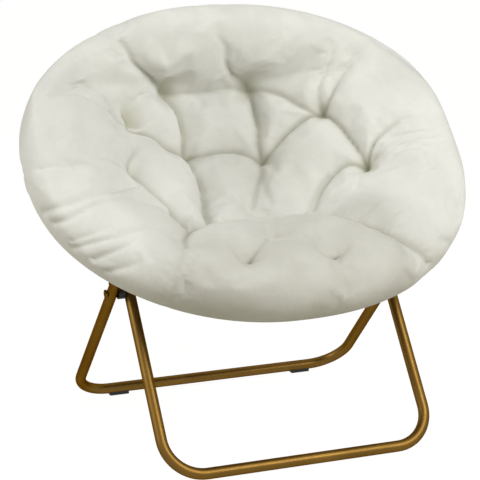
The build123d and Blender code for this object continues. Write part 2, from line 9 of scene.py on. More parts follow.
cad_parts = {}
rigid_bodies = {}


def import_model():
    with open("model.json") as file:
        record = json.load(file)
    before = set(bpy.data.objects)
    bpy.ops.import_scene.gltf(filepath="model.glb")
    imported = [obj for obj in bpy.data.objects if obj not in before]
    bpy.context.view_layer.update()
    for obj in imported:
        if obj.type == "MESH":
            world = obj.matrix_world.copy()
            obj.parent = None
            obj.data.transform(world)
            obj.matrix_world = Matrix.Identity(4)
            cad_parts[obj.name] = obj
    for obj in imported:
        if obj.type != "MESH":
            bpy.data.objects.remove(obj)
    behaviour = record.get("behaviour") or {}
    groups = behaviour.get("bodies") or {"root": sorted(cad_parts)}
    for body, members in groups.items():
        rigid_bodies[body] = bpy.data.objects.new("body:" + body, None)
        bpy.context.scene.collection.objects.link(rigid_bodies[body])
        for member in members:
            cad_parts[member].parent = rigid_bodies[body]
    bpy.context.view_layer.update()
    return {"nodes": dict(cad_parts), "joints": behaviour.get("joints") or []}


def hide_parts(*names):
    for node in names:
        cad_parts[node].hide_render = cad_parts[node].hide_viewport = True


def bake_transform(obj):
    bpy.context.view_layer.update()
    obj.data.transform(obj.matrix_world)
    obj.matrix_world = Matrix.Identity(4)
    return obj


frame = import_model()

bl_info = {
    "name": "Folding saucer chair",
    "version": (1, 0, 0),
    "blender": (4, 5, 0),
    "location": "View3D > Sidebar > Saucer chair",
    "description": "Dresses the folding saucer chair: plush cushion, gold tubes, fittings and a plain studio",
    "category": "Object",
}

LEG_PIVOT = Vector(next(j for j in frame["joints"] if j["name"] == "leg_fold")["pos_m"])

# The ring lies on a plane that tilts back. Across is X, along runs up the ring's depth and
# height stands square to it. The cushion is drawn in these coordinates, in millimetres.
RING_TILT = math.radians(47)
RING_MIDDLE = (0.0, LEG_PIVOT.y + 0.050, 0.476)


def ring_to_world(points):
    """Ring coordinates in millimetres to the chair's frame in metres."""
    points = np.asarray(points, float)
    c, s = math.cos(RING_TILT), math.sin(RING_TILT)
    x, along, height = points[..., 0], points[..., 1], points[..., 2]
    return np.stack([
        RING_MIDDLE[0] + x / 1000,
        RING_MIDDLE[1] + (along * c - height * s) / 1000,
        RING_MIDDLE[2] + (along * s + height * c) / 1000], -1)


def turned_to_ring(vectors):
    """Vectors of the chair's frame, turned to the ring's across, along and height."""
    c, s = math.cos(RING_TILT), math.sin(RING_TILT)
    x, y, z = vectors[..., 0], vectors[..., 1], vectors[..., 2]
    return np.stack([x, y * c + z * s, -y * s + z * c], -1)


def world_to_ring(points):
    """The chair's frame in metres to ring coordinates in millimetres."""
    return turned_to_ring((np.asarray(points, float) - np.array(RING_MIDDLE)) * 1000)


# ---------------------------------------------------------------- settings
class CushionSettings(bpy.types.PropertyGroup):
    plush_color: bpy.props.FloatVectorProperty(
        name="Plush", description="Colour of the plush where it catches the light",
        subtype="COLOR", size=3, min=0, max=1, default=(0.762, 0.764, 0.725))
    # Painted shade: the plush takes this warmer, darker colour in the creases, where shade falls.
    fold_color: bpy.props.FloatVectorProperty(
        name="Plush in folds", description="Painted shade: warmer, darker plush colour deep in the creases",
        subtype="COLOR", size=3, min=0, max=1, default=(0.58, 0.57, 0.43))
    tuft_reach: bpy.props.FloatProperty(
        name="Tuft reach", description="How far from a tuft the padding is drawn down",
        unit="LENGTH", min=0.02, max=0.1, default=0.062)
    crease_reach: bpy.props.FloatProperty(
        name="Crease reach", description="How far from a crease the padding rounds over",
        unit="LENGTH", min=0.01, max=0.08, default=0.052)
    stitch_pitch: bpy.props.FloatProperty(
        name="Stitch pitch", description="From one stitch of the backing's seam to the next",
        unit="LENGTH", min=0.004, max=0.03, default=0.012)
    pile_length: bpy.props.FloatProperty(
        name="Pile", description="Height of the short pile in the surface's relief",
        unit="LENGTH", min=0.0002, max=0.004, default=0.0012)


class FrameSettings(bpy.types.PropertyGroup):
    gold_color: bpy.props.FloatVectorProperty(
        name="Gold", description="Colour of the tubes' satin gold coat",
        subtype="COLOR", size=3, min=0, max=1, default=(0.158, 0.088, 0.020))
    gold_roughness: bpy.props.FloatProperty(
        name="Satin", description="How much the gold coat blurs what it reflects",
        subtype="FACTOR", min=0, max=1, default=0.40)
    plastic_color: bpy.props.FloatVectorProperty(
        name="Plastic", description="Colour of the spacers, pads and plugs",
        subtype="COLOR", size=3, min=0, max=1, default=(0.012, 0.012, 0.013))


class StageSettings(bpy.types.PropertyGroup):
    floor_color: bpy.props.FloatVectorProperty(
        name="Floor", description="Colour of the plain floor",
        subtype="COLOR", size=3, min=0, max=1, default=(0.50, 0.475, 0.39))
    key_power: bpy.props.FloatProperty(
        name="Key light", description="Power of the large soft light over the chair",
        unit="POWER", min=0, max=500, default=45)
    fill_level: bpy.props.FloatProperty(
        name="Fill", description="Level of the even light from all round",
        min=0, max=3, default=0.32)


# ---------------------------------------------------------------- materials
def add_node(tree, kind, links=(), **values):
    """Adds a node with its options and values set, and joins sockets to its inputs."""
    node = tree.nodes.new(kind)
    for key, value in values.items():
        if hasattr(node, key):
            setattr(node, key, value)
        else:
            node.inputs[key.replace("_", " ")].default_value = value
    for socket, source in links:
        tree.links.new(source, node.inputs[socket])
    return node


def add_maths(tree, operation, first, second):
    """Adds a maths node on two numbers or sockets, and gives its result."""
    node = add_node(tree, "ShaderNodeMath", operation=operation)
    for socket, value in zip(node.inputs, (first, second)):
        if isinstance(value, (int, float)):
            socket.default_value = value
        else:
            tree.links.new(value, socket)
    return node.outputs[0]


def toned(color, *factors):
    """A colour made darker or lighter, by one factor or one for each channel."""
    if len(factors) == 1:
        factors *= 3
    return tuple(min(1.0, channel * factor) for channel, factor in zip(color, factors))


class Shader:
    """A material under way: adds and joins its nodes."""

    def __init__(self, name):
        self.material = bpy.data.materials.new(name)
        self.material.use_nodes = True
        self.tree = self.material.node_tree
        self.surface = self.tree.nodes["Principled BSDF"]
        self.place = self.add("ShaderNodeTexCoord").outputs["Object"]

    def add(self, kind, links=(), **values):
        return add_node(self.tree, kind, links, **values)

    def maths(self, operation, first, second):
        return add_maths(self.tree, operation, first, second)

    def mark(self, name):
        """A number kept for each point of the mesh."""
        return self.add("ShaderNodeAttribute", attribute_name=name).outputs["Fac"]

    def noise(self, scale, detail, stretch=None, **values):
        """Noise that is fixed to the piece."""
        place = self.place
        if stretch:
            place = self.add("ShaderNodeMapping", [("Vector", place)], Scale=stretch).outputs[0]
        node = self.add("ShaderNodeTexNoise", [("Vector", place)], Scale=scale, Detail=detail, **values)
        return node.outputs["Fac"]

    def span(self, value, low, high, to_low=0.0, to_high=1.0):
        """Takes the stretch from low to high to another one."""
        node = self.add("ShaderNodeMapRange", [("Value", value)],
                        From_Min=low, From_Max=high, To_Min=to_low, To_Max=to_high)
        return node.outputs["Result"]

    def mix(self, factor, first, second):
        """Goes from the first colour to the second as the factor rises."""
        node = self.add("ShaderNodeMix", [(0, factor)], data_type="RGBA")
        for socket, value in zip(node.inputs[6:8], (first, second)):  # its two colour sockets
            if isinstance(value, tuple):
                socket.default_value = (*value, 1)
            else:
                self.tree.links.new(value, socket)
        return node.outputs[2]

    def bump(self, height, distance, strength, over=None):
        """Relief finer than the mesh, on top of another where one is given."""
        node = self.add("ShaderNodeBump", [("Height", height)], Distance=distance, Strength=strength)
        if over:
            self.tree.links.new(over, node.inputs["Normal"])
        return node.outputs["Normal"]

    def finish(self, color, roughness, normal, **fixed):
        """Joins the looks to the surface, sets its fixed values and gives the material."""
        for socket, source in (("Base Color", color), ("Roughness", roughness), ("Normal", normal)):
            if isinstance(source, float):
                self.surface.inputs[socket].default_value = source
            else:
                self.tree.links.new(source, self.surface.inputs[socket])
        for key, value in fixed.items():
            self.surface.inputs[key.replace("_", " ")].default_value = value
        return self.material


PLUSH_LIGHT = 1.06              # patches where the pile stands up, against the plush's colour
PLUSH_SHADE = 0.91              # patches where it lies over
SEAT_BACK_SHADE_TONE = (0.70, 0.69, 0.65)   # painted shade on the seat and low on the back
SEAT_BACK_SHADE_SHARE = 0.85
CREASE_SHADE_SHARE = 0.8                # how fully the creases take the painted shade colour
CREASE_LINE_SHADE_TONE = 0.5                 # painted shade in a crease's line, against the crease shade colour
CREASE_LINE_SHADE_SHARE = 0.85
PILE_TIPS = 0.80                # the shade between the pile's tips
PILE_SHARE = 0.10


def plush_material(settings):
    """Short cream plush: soft mottling where the pile lies differently, with painted shade: warmer in the
    creases, darker on the seat and low on the back, and a dark line along the creases.
    """
    s = Shader("Cream plush")
    lit, deep = tuple(settings.plush_color), tuple(settings.fold_color)
    brushed = s.noise(16, 4, (1.0, 0.45, 1.0), Roughness=0.6)
    patches = s.noise(5, 2)
    pile = s.noise(620, 3)
    mottling = s.span(s.maths("ADD", brushed, patches), 0.75, 1.3)
    base = s.mix(mottling, toned(lit, PLUSH_SHADE), toned(lit, PLUSH_LIGHT))
    # Painted shade: the creases take the warmer, darker colour.
    base = s.mix(s.span(s.mark("fold"), 0.25, 1.0, 0.0, CREASE_SHADE_SHARE), base, deep)
    # Painted shade on the seat and low on the back, mottled by noise.
    shade_mask = s.maths("MULTIPLY", s.mark("nap"), s.span(s.noise(11, 3), 0.35, 0.65, 0.55, 1.0))
    base = s.mix(s.span(shade_mask, 0.0, 1.0, 0.0, SEAT_BACK_SHADE_SHARE), base, toned(lit, *SEAT_BACK_SHADE_TONE))
    # Painted shade: a dark line along the deep creases and the seam.
    base = s.mix(s.span(s.mark("line"), 0.0, 1.0, 0.0, CREASE_LINE_SHADE_SHARE), base, toned(deep, CREASE_LINE_SHADE_TONE))
    color = s.mix(s.span(pile, 0.3, 0.7, 0.0, PILE_SHARE), base, toned(lit, PILE_TIPS))
    relief = s.maths("ADD", s.maths("MULTIPLY", pile, 0.55), s.maths("MULTIPLY", s.noise(210, 2), 0.45))
    normal = s.bump(relief, settings.pile_length, 0.55)
    normal = s.bump(brushed, settings.pile_length * 4, 0.35, normal)
    return s.finish(color, s.span(brushed, 0.3, 0.7, 0.86, 0.98), normal,
                    Sheen_Weight=0.25, Sheen_Roughness=0.45, Specular_IOR_Level=0.18)


def thread_material(settings):
    """Twisted sewing thread in the plush's colour."""
    s = Shader("Sewing thread")
    tone = toned(settings.plush_color, 0.82)
    twist = s.noise(1500, 2)
    color = s.mix(twist, toned(tone, 0.8), tone)
    return s.finish(color, s.span(twist, 0.3, 0.7, 0.6, 0.75), s.bump(twist, 0.0002, 0.5))


def gold_material(settings):
    """Satin gold coat on steel tube, with faint clouds and handling marks."""
    s = Shader("Satin gold")
    gold, satin = tuple(settings.gold_color), settings.gold_roughness
    cloud = s.noise(14, 3)
    speck = s.noise(900, 2)
    rub = s.noise(60, 5, Roughness=0.7)
    color = s.mix(s.span(cloud, 0.3, 0.7), toned(gold, 0.86), toned(gold, 1.10))
    normal = s.bump(s.maths("ADD", speck, s.maths("MULTIPLY", cloud, 0.5)), 0.000015, 0.3)
    return s.finish(color, s.span(rub, 0.3, 0.75, satin - 0.03, satin + 0.05), normal,
                    Metallic=1.0, Specular_Tint=(0.42, 0.30, 0.12, 1.0))


def plastic_material(settings):
    """Moulded black plastic with a fine spark-eroded grain."""
    s = Shader("Black plastic")
    tone = tuple(settings.plastic_color)
    wear = s.noise(45, 4)
    color = s.mix(s.span(wear, 0.5, 0.75), tone, toned(tone, 2.4))
    normal = s.bump(s.noise(1400, 2), 0.00015, 0.6)
    return s.finish(color, s.span(wear, 0.3, 0.7, 0.48, 0.62), normal, Specular_IOR_Level=0.4)


def steel_material():
    """Zinc-plated fastener steel with turned marks."""
    s = Shader("Plated steel")
    rings = s.noise(260, 2, (0.1, 1.0, 1.0))
    color = s.mix(s.span(rings, 0.3, 0.7), (0.46, 0.44, 0.40), (0.62, 0.60, 0.56))
    return s.finish(color, s.span(rings, 0.3, 0.7, 0.28, 0.42), s.bump(rings, 0.0001, 0.4), Metallic=1.0)


def ring_steel_material():
    """Black powder coat of the ring hidden in the rim."""
    s = Shader("Black powder coat")
    grain = s.noise(900, 3)
    color = s.mix(s.span(grain, 0.35, 0.65), (0.018, 0.018, 0.018), (0.032, 0.031, 0.030))
    return s.finish(color, s.span(grain, 0.3, 0.7, 0.5, 0.66), s.bump(grain, 0.0002, 0.5))


def sleeve_material():
    """Plain woven sleeve cloth."""
    s = Shader("Sleeve cloth")
    waves = [s.add("ShaderNodeTexWave", [("Vector", s.place)], bands_direction=axis, Scale=320,
                   Distortion=1.5).outputs["Fac"] for axis in ("X", "Z")]
    weave = s.maths("MULTIPLY", waves[0], waves[1])
    color = s.mix(weave, (0.52, 0.50, 0.45), (0.66, 0.63, 0.57))
    return s.finish(color, 0.9, s.bump(weave, 0.0004, 0.6), Sheen_Weight=0.1)


# ---------------------------------------------------------------- cushion form
# The cushion's section in the middle of the chair and at its sides, in ring coordinates:
# along, height in the middle, height at the sides, crown of the next stretch in the middle
# and at the sides as a share of its length, and whether it lies on the bowl's inner face.
PROFILE = (
    (-318, -12, -18, .21, .16, True), (-300, 80, 26, .19, .08, True),
    (-215, 72, 44, .07, .02, True), (-84, -78, 46, -.04, .02, True),
    (60, -106, 46, -.05, .02, True), (204, -92, 42, .13, .06, True),
    (262, 36, 32, .27, .16, True), (316, -24, -12, .09, .10, False),
    (250, -158, -38, .09, .02, False), (20, -193, -45, .08, .02, False),
    (-180, -135, -42, .05, .02, False))
RIM_RADIUS = 45.0
# Half width, and how square the outline is behind and in front, on the left and the right
SIDES = {-1: (399.0, 2.06, 1.98), 1: (388.0, 2.30, 2.35)}
STRETCH_STEPS = (36, 34, 76, 56, 56, 56, 32, 58, 90, 80, 70)  # rows on each stretch of the section
OUTER_SKIP = 2        # the plainer outer side keeps every second row
INNER_ROWS = sum(steps for steps, row in zip(STRETCH_STEPS, PROFILE) if row[-1])
ROWS = INNER_ROWS + len(range(INNER_ROWS, sum(STRETCH_STEPS), OUTER_SKIP))
COLUMNS = 321
END_SHARE = 0.9985    # the last section at each side stands just inside the outline's end
INNER_FALL = 1.6      # how soon the bowl grows shallow towards the sides
OUTER_FALL = 2.5      # and the outer side under it
LEAST_CROWN = 1e-4    # crown of a stretch that is all but straight
ROUNDING = 42         # how often each section is evened out
FAR = 1e9             # farther than any point of the cushion

JOINING_POWER = 5.0   # pulls that meet join up into the deeper one, with a soft edge
TUFT_DEPTH = 46.0     # how deep a tuft of full strength draws the padding in
TUFT_SHARPNESS = 2.4
SEAT_TUFT_REACH = 1.35   # the seat's softer tufts draw the padding down from further off
DRAWN_CREASE_REACH = 0.046   # the creases' own reaches are given for this value of the setting
LINE_STEP = 6.0       # a crease's line is laid on the padding in steps of this length
LINE_EVENING = 5      # and evened out so often

LINE_SHADE_REACH = 6.5      # painted shade darkens the plush this near to a crease's line
CREASE_LINE_SHADE_FULL_PULL = 30.0   # pull at which the painted shade line shows in full
CREASE_SHADE_FULL_PULL = 40.0   # pull at which the painted crease shade shows in full
SEAT_SHADE_START = -70.0        # painted shade lies on the seat, from here on
SEAT_SHADE_HALF_WIDTH = 190.0   # and as far as this each side
SEAT_SHADE_FADE = 60.0
BACK_SHADE_MIDDLE = (60, 10)    # and, more faintly, low on the back
BACK_SHADE_REACH = 190.0
BACK_SHADE = 0.8

HELD_DEPTH = 12.0     # creases deeper than this are held fast while the cloth swells
HELD_REACH = 4.5      # as wide a strip as this, each side of the crease
HELD_COLUMNS = 4      # and so many sections at each side of the chair
SWELL_FRAMES = 20
SWELL_CAP = 5.0       # the cloth may move no further than this
SWELL_START = 10      # first row of the section that may swell
SWELL_FADE = 28       # over so many rows the swell grows to its full size
SWELL_CLOTH = {
    "quality": 5, "mass": 0.3, "tension_stiffness": 20, "compression_stiffness": 20,
    "bending_stiffness": 2.0, "use_pressure": True, "uniform_pressure_force": 4, "shrink_min": -0.025}

SEAM_ROWS = 9         # the backing is sewn on so many rows behind the rim's outer edge
SEAM_EVENING = 3
SEAM_GROOVE = 3.0     # depth of the seam's groove
SEAM_GROOVE_REACH = 8.0
SEAM_SHADE_PULL = 12.0   # how dark the painted shade along the seam's line shows
GATHER_DEPTH = 3.4    # depth of the small gathers along the seam
GATHER_REACH = 60.0
GATHER_LENGTH = 34.0  # from one gather to the next
GATHER_SWAY = ((1.9, 0.23, 0.0), (1.1, 0.61, 2.0))   # what makes them uneven: size, rate, start
BACK_TUFT_DEPTH = 20.0   # the tufts' twine draws the backing in this far
BACK_TUFT_REACH = 52.0
BACK_TUFT_SHARPNESS = 2.2

# The leg tubes that touch the padding: half the width between them, angle from level and
# length from the pivot, and the room kept from the tube's middle
PRESSING_TUBES = ((0.2355, 52.052, 0.412, 0.0105), (0.2655, 134.497, 0.066, 0.0125))
PRESS_REACH = 2.2     # the padding gives way out to so many times that room

STITCH_SIZES = {"Pitch": 0.012, "Stitch length": 0.008, "Thread radius": 0.0009}

# Tufts, on the bowl's smooth face: across, along, height, pull
TUFTS = {
    "t1": (-159, 134, -59, 1.15), "t2": (-79, 194, -81, 0.8), "t3": (-57, 80, -101, 0.9),
    "t4": (-186, 15, -41, 0.7), "t6": (72, 191, -84, 0.8), "t7": (68, 59, -97, 0.95),
    "t8": (181, 115, -44, 0.9), "t9": (214, -18, -17, 1.0),
    "s1": (-82, -220, 78, 0.8), "s2": (-10, -166, 33, 0.6), "s3": (66, -230, 84, 0.9),
}
# Creases between and beyond the tufts: depth at the start and the end, reach, points
CREASES = (
    # across the top of the back
    (14, 28, 36, ((-186, 229, 31), (-175, 222, 19), (-159, 209, -9), (-126, 202, -46), (-100, 196, -71),
                  (-79, 194, -81))),
    (16, 20, 32, ((-79, 192, -82), (-53, 194, -88), (-18, 193, -93), (17, 195, -92), (47, 196, -88),
                  (72, 191, -84))),
    (4, 26, 34, ((4, 243, 9), (17, 233, -9), (21, 222, -35), (34, 213, -58), (56, 202, -80),
                 (72, 195, -82))),
    (22, 28, 36, ((72, 191, -84), (102, 185, -77), (130, 167, -68), (150, 138, -61), (170, 116, -51),
                  (181, 105, -44))),
    # between the tufts of the back
    (32, 30, 44, ((-79, 194, -81), (-66, 174, -91), (-57, 149, -98), (-57, 124, -100), (-66, 95, -99),
                  (-57, 80, -101))),
    (32, 30, 44, ((72, 195, -82), (77, 179, -87), (77, 157, -91), (77, 129, -94), (68, 90, -98),
                  (68, 59, -97))),
    (30, 30, 44, ((-57, 80, -101), (-31, 81, -105), (-4, 86, -108), (30, 83, -106), (47, 70, -102),
                  (68, 59, -97))),
    (30, 30, 44, ((68, 59, -97), (89, 72, -91), (110, 91, -83), (134, 105, -71), (150, 113, -62),
                  (166, 116, -53), (181, 115, -44))),
    (16, 5, 34, ((-159, 137, -59), (-175, 141, -49), (-163, 160, -54))),
    (5, 14, 34, ((-163, 160, -54), (-150, 171, -59), (-117, 187, -70), (-79, 194, -81))),
    (28, 30, 46, ((-159, 137, -59), (-179, 105, -49), (-159, 106, -61), (-126, 109, -77), (-100, 88, -88),
                  (-74, 79, -97), (-57, 80, -101))),
    (2, 22, 34, ((-167, 121, -55), (-179, 84, -49), (-179, 52, -49), (-198, 28, -35), (-186, 15, -41))),
    (32, 30, 46, ((181, 115, -44), (200, 72, -32), (207, 44, -27), (214, 12, -20), (214, -18, -17))),
    # down to the seat
    (28, 28, 46, ((-186, 15, -41), (-175, -6, -45), (-154, -28, -53), (-138, -45, -57), (-130, -60, -57),
                  (-142, -86, -37), (-146, -120, 4))),
    (28, 34, 44, ((-57, 80, -101), (-61, 59, -99), (-53, 26, -98), (-57, -13, -92), (-66, -46, -82),
                  (-67, -66, -74), (-76, -92, -44))),
    (28, 12, 30, ((68, 59, -97), (51, 15, -97), (34, -16, -95), (17, -56, -86))),
    (14, 8, 16, ((64, 49, -97), (51, 5, -95), (43, -34, -90), (30, -59, -85))),
    (14, 8, 18, ((64, 34, -96), (51, -10, -93), (51, -46, -85), (51, -64, -80))),
    (28, 22, 38, ((214, -18, -17), (196, -7, -29), (181, -7, -38), (166, -17, -46), (146, -34, -54),
                  (130, -52, -58), (114, -80, -54))),
    (12, 14, 18, ((162, -14, -48), (150, -22, -54), (130, -42, -60), (114, -67, -61), (98, -84, -57))),
    (14, 4, 26, ((214, -18, -17), (200, -53, -21), (185, -76, -24))),
    # round the back of the seat
    (16, 48, 50, ((-178, -192, 62), (-172, -170, 50), (-148, -138, 22), (-115, -110, -14), (-80, -94, -44),
                  (-31, -84, -72), (2, -84, -78))),
    (48, 40, 52, ((2, -84, -78), (40, -88, -72), (80, -98, -52), (110, -116, -24), (140, -142, 10),
                  (168, -172, 42))),
    (40, 16, 46, ((168, -172, 42), (186, -200, 62), (208, -228, 64), (228, -242, 56), (246, -254, 38),
                  (254, -258, 20))),
    # shallow valleys on the seat
    (14, 6, 34, ((66, -230, 84), (48, -228, 82), (29, -216, 74), (10, -200, 60))),
    (14, 3, 34, ((66, -230, 84), (96, -228, 80), (128, -220, 74))),
    (10, 3, 22, ((62, -240, 88), (60, -262, 88), (62, -284, 82), (66, -301, 70))),
    (12, 3, 26, ((-10, -166, 33), (-42, -170, 36), (-87, -162, 34))),
    (16, 10, 32, ((-82, -220, 78), (-62, -212, 72), (-40, -196, 56), (-10, -166, 33))),
    (10, 3, 26, ((-82, -220, 78), (-112, -222, 76), (-142, -224, 72))),
    (10, 5, 24, ((-40, -178, 45), (-13, -173, 40), (0, -185, 50), (13, -204, 65))),
    (8, 8, 32, ((-10, -166, 33), (20, -176, 44), (66, -230, 84))),
    # gathers from the side tufts over the rim
    (15, 4, 24, ((-192, 110, -42), (-204, 118, -33), (-217, 129, -24), (-243, 139, -7), (-264, 153, 6),
                 (-290, 151, 23))),
    (10, 3, 14, ((-213, 124, -27), (-245, 137, -6), (-291, 132, 20), (-344, 121, 38))),
    (28, 3, 22, ((181, 115, -44), (200, 133, -31), (214, 152, -21), (235, 170, -5), (252, 180, 14),
                 (271, 191, 31))),
    (18, 3, 15, ((181, 117, -44), (181, 143, -42), (185, 163, -38), (204, 182, -21), (214, 197, 5))),
    (12, 3, 11, ((185, 116, -41), (200, 140, -31), (214, 159, -20), (232, 177, -4), (245, 191, 19))),
    (30, 3, 22, ((214, -18, -17), (228, 0, -9), (242, 20, -2), (262, 27, 10), (289, 35, 26), (315, 34, 39),
                 (336, 39, 45))),
    (14, 3, 14, ((235, -15, -4), (242, -10, 0), (258, -14, 11), (292, -15, 30), (315, -17, 41),
                 (354, -23, 46))),
    (9, 3, 11, ((245, 3, 1), (268, 7, 15), (297, 2, 32), (325, -3, 44), (355, -6, 46))),
    (14, 3, 12, ((-202, 106, -35), (-217, 138, -24), (-245, 153, -5), (-285, 153, 21), (-308, 149, 32))),
    (13, 3, 12, ((-209, 96, -30), (-228, 123, -18), (-262, 133, 4), (-300, 129, 25), (-334, 122, 38))),
    (11, 3, 11, ((228, -26, -7), (252, -10, 6), (277, -4, 21), (305, -3, 36), (332, -6, 46))),
    (9, 3, 11, ((228, -39, -6), (252, -31, 8), (277, -27, 22), (303, -30, 35), (330, -36, 45))),
    # small gathers round the tufts of the back
    (9, 2, 12, ((-79, 67, -95), (-44, 78, -103), (-13, 78, -107), (9, 76, -107))),
    (7, 2, 12, ((-79, 77, -95), (-48, 93, -103), (-22, 96, -107), (4, 89, -108))),
    (9, 2, 14, ((181, 98, -44), (158, 113, -58), (138, 112, -69), (122, 101, -77))),
    # gathers across the left side of the rim
    (6, 12, 13, ((-383, -87, 8), (-360, -97, 42), (-329, -90, 45), (-297, -75, 34), (-245, -52, 1),
                 (-198, -26, -29))),
    (9, 4, 12, ((-372, -112, 15), (-352, -119, 39), (-329, -110, 45), (-291, -95, 38), (-249, -74, 10))),
    (6, 3, 11, ((-350, -147, 20), (-322, -151, 42), (-291, -143, 48))),
    (8, 4, 12, ((-348, -155, 9), (-317, -164, 40), (-285, -164, 50), (-252, -160, 51), (-213, -151, 43))),
    (9, 3, 12, ((-322, -184, 18), (-297, -187, 41), (-272, -183, 52), (-245, -171, 54))),
    (6, 2, 11, ((-303, -207, 12), (-279, -214, 36), (-262, -214, 47))),
    (6, 4, 18, ((-381, -21, 37), (-339, -21, 45), (-291, -15, 24), (-269, -18, 12))),
)


# The sewn seam at the left end of the seat, given in the same way
SEAMS = (
    (1, 11, 9, ((-216, -280, -18), (-214, -274, 8), (-213, -265, 39), (-206, -244, 60), (-191, -217, 69),
                (-178, -192, 62))),
)


def section(x):
    """The cushion's closed outline square to X, as points (along, height)."""
    half, square_back, square_front = SIDES[1 if x > 0 else -1]
    share_x = abs(x / half)
    back = (1 - share_x ** square_back) ** (1 / square_back)
    front = (1 - share_x ** square_front) ** (1 / square_front)
    rim_x = half - RIM_RADIUS
    thin = math.sqrt(max(0.0, 1 - (max(0.0, abs(x) - rim_x) / RIM_RADIUS) ** 2))
    flat = max(0.0, 1 - (x / rim_x) ** 2)
    corners, crowns = [], []
    for along, middle, side, crown_middle, crown_side, inner in PROFILE:
        share = flat ** (INNER_FALL if inner else OUTER_FALL)
        corners.append((along * (back if along > 0 else front), thin * side + (middle - side) * share))
        crowns.append(crown_side * thin + (crown_middle - crown_side) * share)
    points = []
    for index, crown in enumerate(crowns):
        start = np.array(corners[index])
        chord = np.array(corners[(index + 1) % len(corners)]) - start
        length = math.hypot(*chord)
        outward = np.array((-chord[1], chord[0])) / length
        rise = max(abs(crown), LEAST_CROWN) * length
        radius = (length * length / 4 + rise * rise) / (2 * rise)
        half_angle = math.asin(min(1.0, length / 2 / radius))
        way = 1 if crown > 0 else -1
        centre = start + chord / 2 - outward * way * (radius - rise)
        steps = STRETCH_STEPS[index]
        for step in range(steps):
            angle = half_angle * (2 * step / steps - 1)
            reach = chord / length * math.sin(angle) + outward * way * math.cos(angle)
            points.append(centre + radius * reach)
    return np.array(points)


def bowl_grid():
    """Sections across the chair, smoothed round each loop."""
    columns = []
    for share in np.sin(np.linspace(-math.pi / 2, math.pi / 2, COLUMNS)) * END_SHARE:
        x = share * SIDES[1 if share > 0 else -1][0]
        loop = section(x)
        for _ in range(ROUNDING):
            loop = (np.roll(loop, 1, 0) + 2 * loop + np.roll(loop, -1, 0)) / 4
        loop = np.vstack([loop[:INNER_ROWS], loop[INNER_ROWS::OUTER_SKIP]])
        columns.append(np.column_stack([np.full(len(loop), x), loop]))
    return np.array(columns)


def grid_mesh(name, grid):
    """A closed mesh from the sections, with a fan over each end."""
    columns, steps = grid.shape[:2]
    ends = [grid[0].mean(0), grid[-1].mean(0)]
    points = ring_to_world(np.vstack([grid.reshape(-1, 3), ends]))
    i, j = np.meshgrid(np.arange(columns - 1), np.arange(steps), indexing="ij")
    k = (j + 1) % steps
    faces = np.stack([i * steps + j, (i + 1) * steps + j, (i + 1) * steps + k, i * steps + k], -1)
    faces = [tuple(f) for f in faces.reshape(-1, 4).tolist()]
    last = columns * steps
    for step in range(steps):
        after = (step + 1) % steps
        faces.append((last, step, after))
        base = (columns - 1) * steps
        faces.append((last + 1, base + after, base + step))
    mesh = bpy.data.meshes.new(name)
    mesh.from_pydata(points.tolist(), [], faces)
    mesh.update()
    return mesh


def get_points(mesh):
    """The places of the mesh's points, one row each."""
    points = np.empty(len(mesh.vertices) * 3)
    mesh.vertices.foreach_get("co", points)
    return points.reshape(-1, 3)


def set_points(mesh, points):
    mesh.vertices.foreach_set("co", np.ascontiguousarray(points).ravel())
    mesh.update()


def get_normals(mesh):
    """The directions that the mesh's points face."""
    normals = np.empty(len(mesh.vertices) * 3)
    mesh.vertex_normals.foreach_get("vector", normals)
    return normals.reshape(-1, 3)


def smooth(mesh, values, rounds):
    """Evens out values given for each point, half way to its neighbours' mean in each round."""
    edges = np.empty(len(mesh.edges) * 2, np.int64)
    mesh.edges.foreach_get("vertices", edges)
    a, b = edges.reshape(-1, 2).T
    count = np.bincount(np.concatenate([a, b]), minlength=len(values)).astype(float)
    flat = values.reshape(len(values), -1)
    for _ in range(rounds):
        total = np.stack([
            np.bincount(a, flat[b, c], len(flat)) + np.bincount(b, flat[a, c], len(flat))
            for c in range(flat.shape[1])], -1)
        flat = flat + 0.5 * (total / count[:, None] - flat)
    return flat.reshape(values.shape)


def nearest_point(points, place):
    """The point of the padding that lies closest to a place."""
    return points[np.argmin(((points - place) ** 2).sum(1))]


def laid_on(points, line):
    """The line in short steps, each moved to the nearest point of the padding, then evened out."""
    line = np.array(line, float)
    lengths = np.linalg.norm(np.diff(line, axis=0), axis=1)
    marks = np.concatenate([[0], np.cumsum(lengths)])
    places = np.linspace(0, marks[-1], max(2, int(marks[-1] / LINE_STEP)))
    fine = np.stack([np.interp(places, marks, line[:, c]) for c in range(3)], -1)
    line = np.array([nearest_point(points, place) for place in fine])
    for _ in range(LINE_EVENING):
        line[1:-1] = (line[:-2] + 2 * line[1:-1] + line[2:]) / 4
    return line


